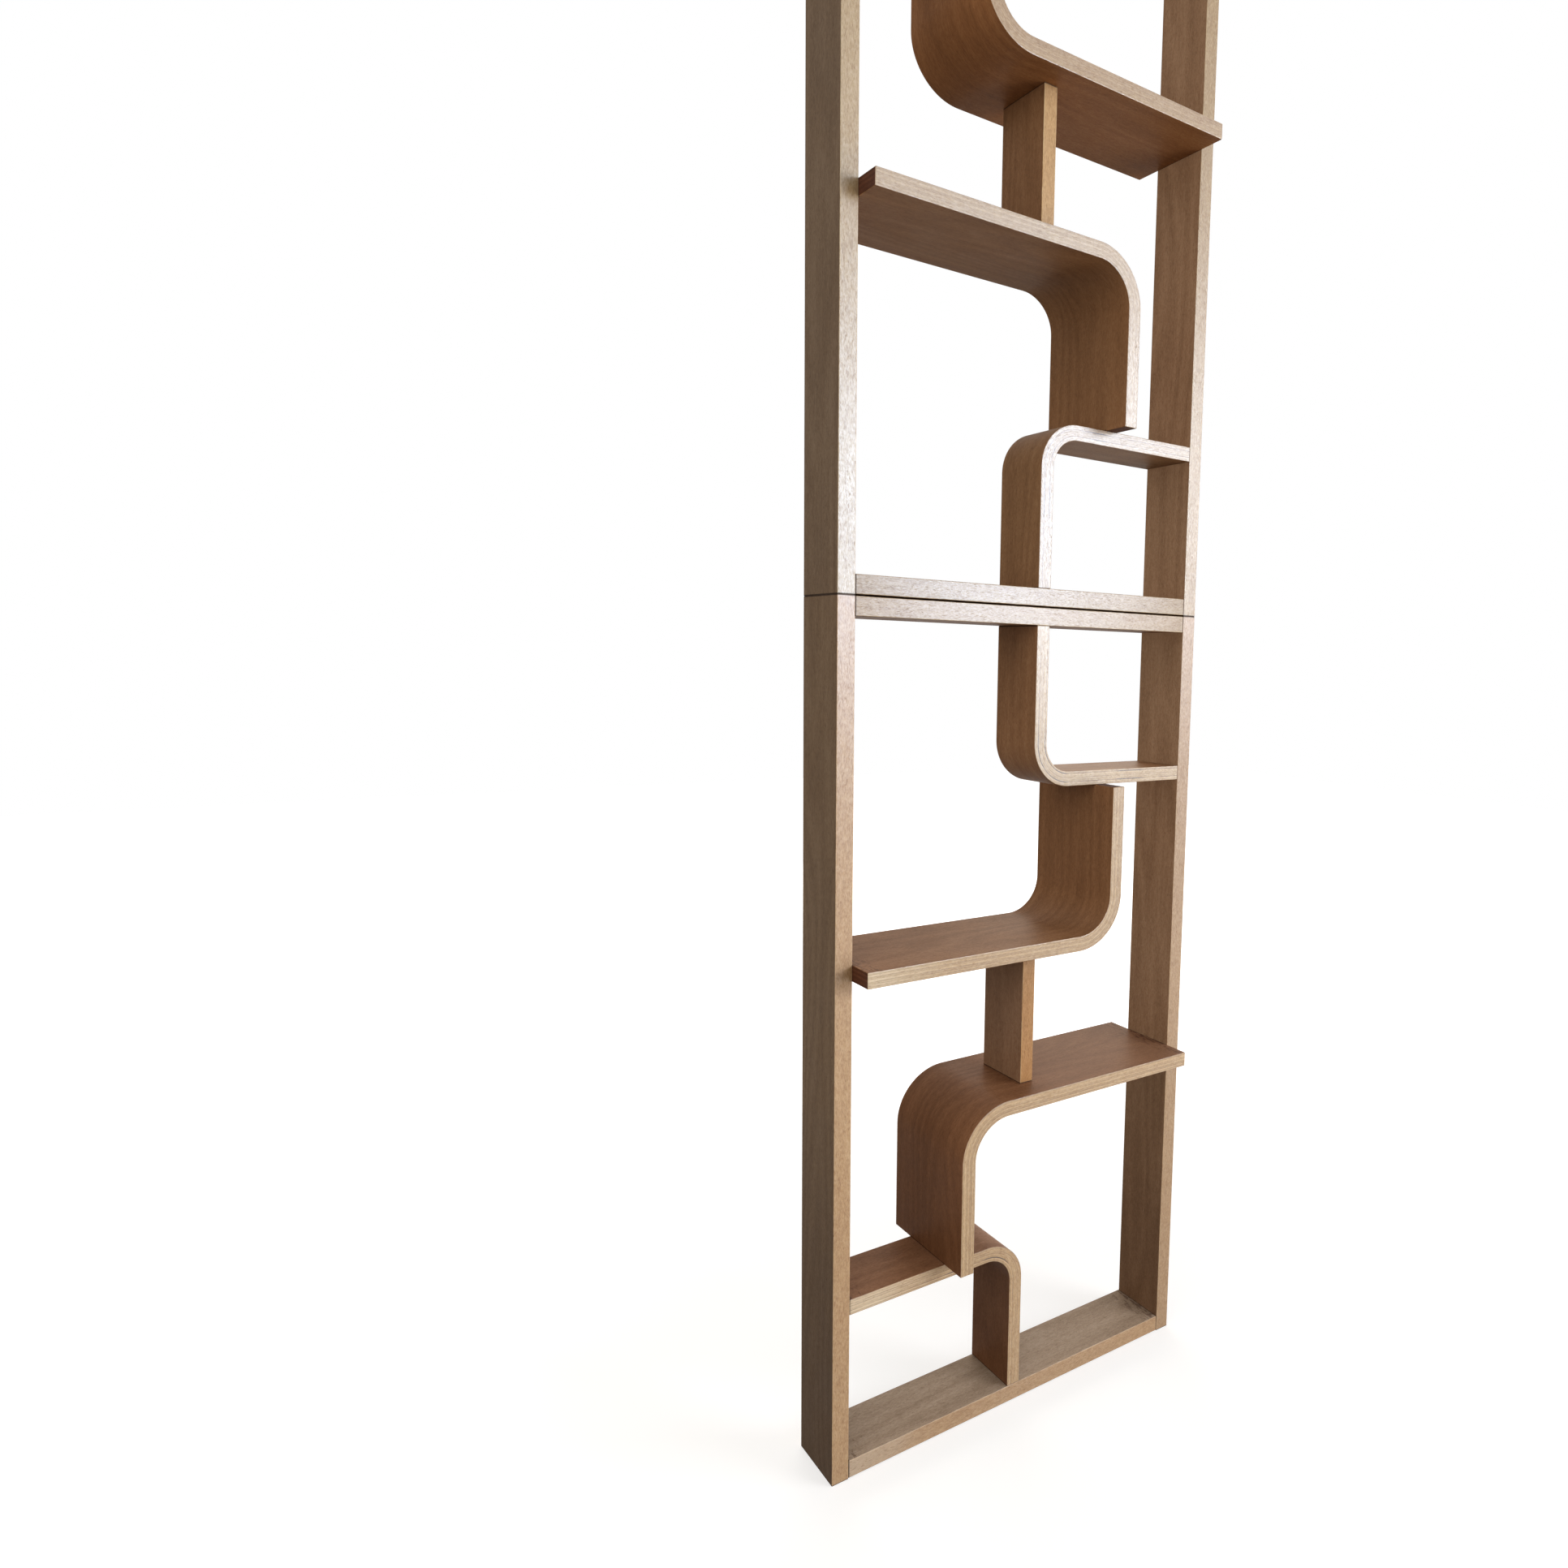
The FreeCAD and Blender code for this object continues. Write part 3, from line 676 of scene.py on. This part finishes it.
# Each board: a seed for its grain, then the tint of its faces and of its edges. The tints are partly the
# board's own tone and partly painted light and shade
woods = {
    "lower_left_upright": (1.3, (0.98, 1.34, 1.85), (1.13, 1.14, 1.1)),
    "upper_left_upright": (2.9, (0.98, 1.38, 2.0), (1.08, 1.27, 1.37)),
    "lower_right_upright": (4.1, (1.25, 1.6, 2.2), (0.8, 0.79, 0.73)),
    "upper_right_upright": (5.6, (1.25, 1.58, 2.15), (0.79, 0.86, 0.8)),
    # The lower end rail's pale grey face tint is a painted sheen on its top
    "lower_end_rail": (7.7, (1.55, 2.45, 4.1), (0.98, 1.0, 1.02)),
    "upper_end_rail": (8.2, (1.0, 1.05, 1.15), (0.9, 0.92, 0.92)),
    "lower_middle_rail": (9.4, (0.76, 0.8, 0.86), (0.76, 0.83, 0.81)),
    "upper_middle_rail": (11.8, (1.0, 1.05, 1.15), (0.69, 0.76, 0.73)),
    "lower_divider": (12.6, (1.27, 1.53, 2.08), (1.0, 1.0, 0.9)),
    "upper_divider": (14.3, (0.96, 1.04, 1.15), (1.17, 1.35, 1.32)),
    "lower_small_shelf_left": (24.7, (1.08, 1.1, 1.3), (1.02, 1.02, 0.95)),
    "lower_small_shelf_right": (22.7, (1.15, 1.24, 1.4), (0.95, 1.02, 1.0)),
    "lower_deep_shelf_left": (23.5, (0.92, 0.94, 1.0), (0.92, 0.92, 0.81)),
    "lower_deep_shelf_right": (25.3, (0.89, 0.85, 0.92), (0.99, 1.0, 0.92)),
    "upper_small_shelf_left": (27.1, (1.0, 1.05, 1.1), (1.0, 1.02, 0.98)),
    "upper_small_shelf_right": (28.6, (1.04, 1.18, 1.32), (0.84, 0.92, 1.0)),
    "upper_deep_shelf_left": (31.0, (1.08, 1.15, 1.24), (0.86, 0.91, 0.9)),
    "upper_deep_shelf_right": (31.8, (1.12, 1.05, 0.98), (0.8, 0.8, 0.75)),
}


def finishOf(node):
    seed, face, edge = woods[node]
    bore = boardFinish["pinBore"] if node in boardFinish["bored"] else 0
    return {"Grain Seed": seed, "Face Tint": face, "Edge Tint": edge, "Edge Ease": boardFinish["edgeEase"],
            "End Ease": boardFinish["endEase"], "Pin Bore": bore, "Bore Depth": boardFinish["boreDepth"]}


def makeBoard(node, tree, sizes, materials, place):
    piece = bpy.data.objects.new(node + "_board", bpy.data.meshes.new(node + "_board"))
    scene.collection.objects.link(piece)
    modifier = piece.modifiers.new("board", "NODES")
    modifier.node_group = tree
    named = dict(zip(("Face Material", "Edge Material", "End Material"), materials))
    values = {**sizes, **finishOf(node), **named}
    for item in tree.interface.items_tree:
        if item.in_out == "INPUT":
            modifier[item.identifier] = values[item.name]
    graph = bpy.context.evaluated_depsgraph_get()
    mesh = bpy.data.meshes.new_from_object(piece.evaluated_get(graph))
    piece.modifiers.clear()
    piece.data = mesh
    for helper in ("along", "across", "through", "run"):
        mesh.attributes.remove(mesh.attributes[helper])
    mesh.transform(place)
    mesh.shade_smooth()
    mesh.set_sharp_from_angle(angle=math.radians(boardFinish["smoothDegrees"]))
    body = node.split("_")[0] + "_module"
    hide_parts(node)
    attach(piece, body)


# Frame boards and the axis that each runs along: uprights and dividers stand, rails lie
lying = 0
standing = 2
frameBoards = {
    "left_upright": standing, "right_upright": standing, "end_rail": lying, "middle_rail": lying,
    "divider": standing,
}


def makeFrameBoard(module, name, axis):
    node = module + "_" + name
    low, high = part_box(node)
    span = high - low
    thickness = span.x if axis == standing else span.z
    sizes = {"Length": span[axis], "Depth": span.y, "Thickness": thickness}
    start = (low + high) / 2
    start[axis] = low[axis]
    turn = Matrix.Rotation(math.radians(-90), 4, "Y") if axis == standing else Matrix.Identity(4)
    materials, slot = (frameFace, frameEdge if axis == standing else railEdge, frameEnd), "frame_wood"
    if name == "divider":
        materials, slot = (dividerFace, dividerEdge, frameEnd), "divider_wood"
    makeBoard(node, straightBoard, sizes, materials, Matrix.Translation(start) @ turn)


# Bent boards, and the axis that each is turned half round about, if any
bend = {
    "thickness": 0.022, "smallRadius": 0.064, "deepRadius": 0.078, "steps": 24,
    "turns": {
        "lower_small_shelf_left": "", "lower_small_shelf_right": "Y",
        "lower_deep_shelf_left": "X", "lower_deep_shelf_right": "Z",
        "upper_small_shelf_left": "X", "upper_small_shelf_right": "Z",
        "upper_deep_shelf_left": "", "upper_deep_shelf_right": "Y",
    },
}


def makeBentBoard(node, turn):
    low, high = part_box(node)
    span = high - low
    corner = Vector((low.x if turn in ("Y", "Z") else high.x, 0, low.z if turn in ("X", "Y") else high.z))
    place = Matrix.Translation(corner)
    if turn:
        place = place @ Matrix.Rotation(math.pi, 4, turn)
    radius = bend["smallRadius"] if "small" in node else bend["deepRadius"]
    sizes = {"Reach": span.x, "Drop": span.z, "Depth": span.y, "Thickness": bend["thickness"],
             "Outer Radius": radius, "Bend Steps": bend["steps"]}
    makeBoard(node, bentBoard, sizes, (bentFace, plyEdge, plyEnd), place)


for module in modules:
    for name, axis in frameBoards.items():
        makeFrameBoard(module, name, axis)
for node, turn in bend["turns"].items():
    makeBentBoard(node, turn)
print("boards made")

# Dowels and pins keep their solids, in pale turned beech
dowelLook = {
    "dark": (196, 158, 116), "light": (224, 192, 152), "fleck": (168, 124, 84), "fleckShow": 0.6,
    "grainNoise": {"seed": 1.0, "along": 240, "across": 240, "detail": 3, "roughness": 0.6, "shift": 4.4},
    "fleckNoise": {"seed": 2.0, "along": 900, "across": 900, "detail": 2, "roughness": 0.5, "shift": 9.1},
    "grainRange": (0.3, 0.7), "fleckRange": (0.6, 0.7),
    "roughness": (0.45, 0.65), "bump": 0.3, "reliefHeight": 0.0002,
}


def makeBeech(look):
    material, tree = startMaterial("dowelBeech")
    coord = put(tree, "ShaderNodeTexCoord").outputs["Object"]
    grain = stretchedNoise(tree, coord, **look["grainNoise"])
    fleck = band(tree, stretchedNoise(tree, coord, **look["fleckNoise"]), *look["fleckRange"])
    pale = band(tree, grain, *look["grainRange"])
    colour = blendColour(tree, "MIX", pale, fromSrgb(*look["dark"]), fromSrgb(*look["light"]))
    flecked = calc(tree, "MULTIPLY", fleck, look["fleckShow"])
    colour = blendColour(tree, "MIX", flecked, colour, fromSrgb(*look["fleck"]))
    rough = between(tree, grain, *look["roughness"])
    bump = put(tree, "ShaderNodeBump",
               {"Strength": look["bump"], "Distance": look["reliefHeight"], "Height": grain}).outputs[0]
    shader = put(tree, "ShaderNodeBsdfPrincipled",
                 {"Base Color": colour, "Roughness": rough, "Normal": bump})
    tree.links.new(shader.outputs[0], put(tree, "ShaderNodeOutputMaterial").inputs[0])
    return material


dowelBeech = makeBeech(dowelLook)
for name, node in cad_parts.items():
    if name.endswith(("_dowels", "_pins")):
        node.data.materials.clear()
        node.data.materials.append(dowelBeech)
print("dowels finished")

# Studio: the floor and the surround look white, and light the boards less than white ones would
studio = {
    "floorSize": 16, "floorShow": (0.6, 0.6, 0.6, 1), "floorShade": (0.45, 0.45, 0.45, 1),
    "white": (1, 1, 1, 1), "shadeReach": (0.5, 1.8),
    "bounce": (72, 68, 64), "cloud": (0.8, 0.8, 0.8, 1), "cloudShow": 0.06,
    "cloudNoise": {"seed": 1.0, "along": 1.5, "across": 1.5, "detail": 3, "roughness": 0.5, "shift": 2.0},
    "ambientColour": (255, 250, 244), "overhead": 0.57, "aside": 0.12,
}


def seenRays(tree):
    ray = put(tree, "ShaderNodeLightPath").outputs
    either = calc(tree, "MAXIMUM", ray["Is Camera Ray"], ray["Is Glossy Ray"])
    return calc(tree, "MAXIMUM", either, ray["Is Transmission Ray"])


def makeFloor():
    material, tree = startMaterial("studioFloor")
    coord = put(tree, "ShaderNodeTexCoord").outputs["Object"]
    cloud = stretchedNoise(tree, coord, **studio["cloudNoise"])
    cloud = calc(tree, "MULTIPLY", cloud, studio["cloudShow"])
    colour = blendColour(tree, "MULTIPLY", cloud, fromSrgb(*studio["bounce"]), studio["cloud"])
    bounce = put(tree, "ShaderNodeBsdfDiffuse", {"Color": colour})
    # Shadows show near the shelf, and the floor fades to white further out
    away = put(tree, "ShaderNodeVectorMath", {0: coord}, operation="LENGTH").outputs["Value"]
    faded = band(tree, away, *studio["shadeReach"])
    shown = blendColour(tree, "MIX", faded, studio["floorShow"], studio["white"])
    shade = put(tree, "ShaderNodeBsdfDiffuse", {"Color": studio["floorShade"]})
    glow = put(tree, "ShaderNodeEmission", {"Color": shown, "Strength": 1})
    seen = put(tree, "ShaderNodeAddShader", {0: shade.outputs[0], 1: glow.outputs[0]})
    mix = put(tree, "ShaderNodeMixShader", {0: seenRays(tree), 1: bounce.outputs[0], 2: seen.outputs[0]})
    tree.links.new(mix.outputs[0], put(tree, "ShaderNodeOutputMaterial").inputs[0])
    mesh = bpy.data.meshes.new("studio_floor")
    half = studio["floorSize"] / 2
    corners = [(-half, -half, 0), (half, -half, 0), (half, half, 0), (-half, half, 0)]
    mesh.from_pydata(corners, [], [(0, 1, 2, 3)])
    mesh.materials.append(material)
    floor = bpy.data.objects.new("studio_floor", mesh)
    scene.collection.objects.link(floor)


def makeWorld():
    world = bpy.data.worlds.new("studio")
    world.use_nodes = True
    tree = world.node_tree
    tree.nodes.clear()
    # More light from the ceiling than from the walls
    upward = splitVector(tree, put(tree, "ShaderNodeTexCoord").outputs["Generated"])["Z"]
    level = between(tree, upward, studio["aside"], studio["overhead"])
    ambient = put(tree, "ShaderNodeBackground",
                  {"Color": fromSrgb(*studio["ambientColour"]), "Strength": level})
    white = put(tree, "ShaderNodeBackground", {"Color": studio["white"], "Strength": 1})
    mix = put(tree, "ShaderNodeMixShader", {0: seenRays(tree), 1: ambient.outputs[0], 2: white.outputs[0]})
    tree.links.new(mix.outputs[0], put(tree, "ShaderNodeOutputWorld").inputs[0])
    scene.world = world


# The left wall's light is three lamps in one place, so that each pair of uprights gets its own share
wallLamp = {"place": (-2.3, -1.0, 1.8), "aim": (0, 0, 1.1), "size": (3.4, 3), "colour": (255, 246, 234)}
lamps = {
    "window": {"place": (2.82, -3.67, 1.92), "aim": (0, 0, 1.32), "size": (2.6, 1.8), "power": 155,
               "colour": (248, 250, 255)},
    "windowGlint": {"place": (1.78, -3.75, 1.88), "aim": (0, 0, 1.32), "size": (1.9, 1.2), "power": 125,
                    "colour": (181, 216, 255), "diffuse": False},
    "leftWall": {**wallLamp, "power": 52, "spares": ("left_upright", "right_upright")},
    "leftShade": {**wallLamp, "power": 24, "only": ("left_upright",)},
    "rightFill": {**wallLamp, "power": 54, "only": ("right_upright",)},
    "floorBounce": {"place": (1.5, -1.5, 0.02), "aim": (0, 0, 1.8), "size": (1.8, 1.8), "power": 40,
                    "colour": (255, 240, 222), "glossy": False},
    "farWall": {"place": (3.6, 3.7, 2.2), "aim": (0, 0, 0.7), "size": (2, 2), "power": 36,
                "colour": (255, 238, 216)},
    "backFill": {"place": (1.2, 4.2, 1.7), "aim": (0, 0, 1.2), "size": (3, 2.4), "power": 130,
                 "colour": (255, 250, 244), "glossy": False},
}


# A lamp may light only one pair of boards, or leave some in the shade
def linkBoards(holder, boards, state):
    chosen = bpy.data.collections.new(holder.name + "Boards")
    for board in boards:
        for module in modules:
            chosen.objects.link(bpy.data.objects[f"{module}_{board}_board"])
    for item in chosen.collection_objects:
        item.light_linking.link_state = state
    holder.light_linking.receiver_collection = chosen
    if state == "INCLUDE":
        holder.light_linking.blocker_collection = chosen


def makeLamp(name, lamp):
    light = bpy.data.lights.new(name, "AREA")
    light.shape = "RECTANGLE"
    light.size, light.size_y = lamp["size"]
    light.energy = lamp["power"]
    light.color = fromSrgb(*lamp["colour"])[:3]
    holder = bpy.data.objects.new(name, light)
    scene.collection.objects.link(holder)
    place = Vector(lamp["place"])
    holder.location = place
    holder.rotation_euler = (Vector(lamp["aim"]) - place).to_track_quat("-Z", "Y").to_euler()
    holder.visible_camera = False
    holder.visible_diffuse = lamp.get("diffuse", True)
    holder.visible_glossy = lamp.get("glossy", True)
    for key, state in (("only", "INCLUDE"), ("spares", "EXCLUDE")):
        if key in lamp:
            linkBoards(holder, lamp[key], state)


makeFloor()
makeWorld()
for name, lamp in lamps.items():
    makeLamp(name, lamp)
print("studio lit")

# Camera where the photo was taken from: close, at the front left, looking a little down
view = {
    "place": (-0.94705, -1.28658, 1.12015), "turn": (84.095, -1.432, -37.291),
    "lens": 24.939, "sensor": 36, "shift": (-0.1598, -0.00551), "clipStart": 0.05,
}


def makeCamera():
    camera = bpy.data.cameras.new("camera")
    camera.sensor_width = view["sensor"]
    camera.sensor_fit = "HORIZONTAL"
    camera.lens = view["lens"]
    camera.shift_x, camera.shift_y = view["shift"]
    camera.clip_start = view["clipStart"]
    holder = bpy.data.objects.new("camera", camera)
    scene.collection.objects.link(holder)
    holder.location = view["place"]
    holder.rotation_euler = [math.radians(angle) for angle in view["turn"]]
    scene.camera = holder


makeCamera()
print("camera set")
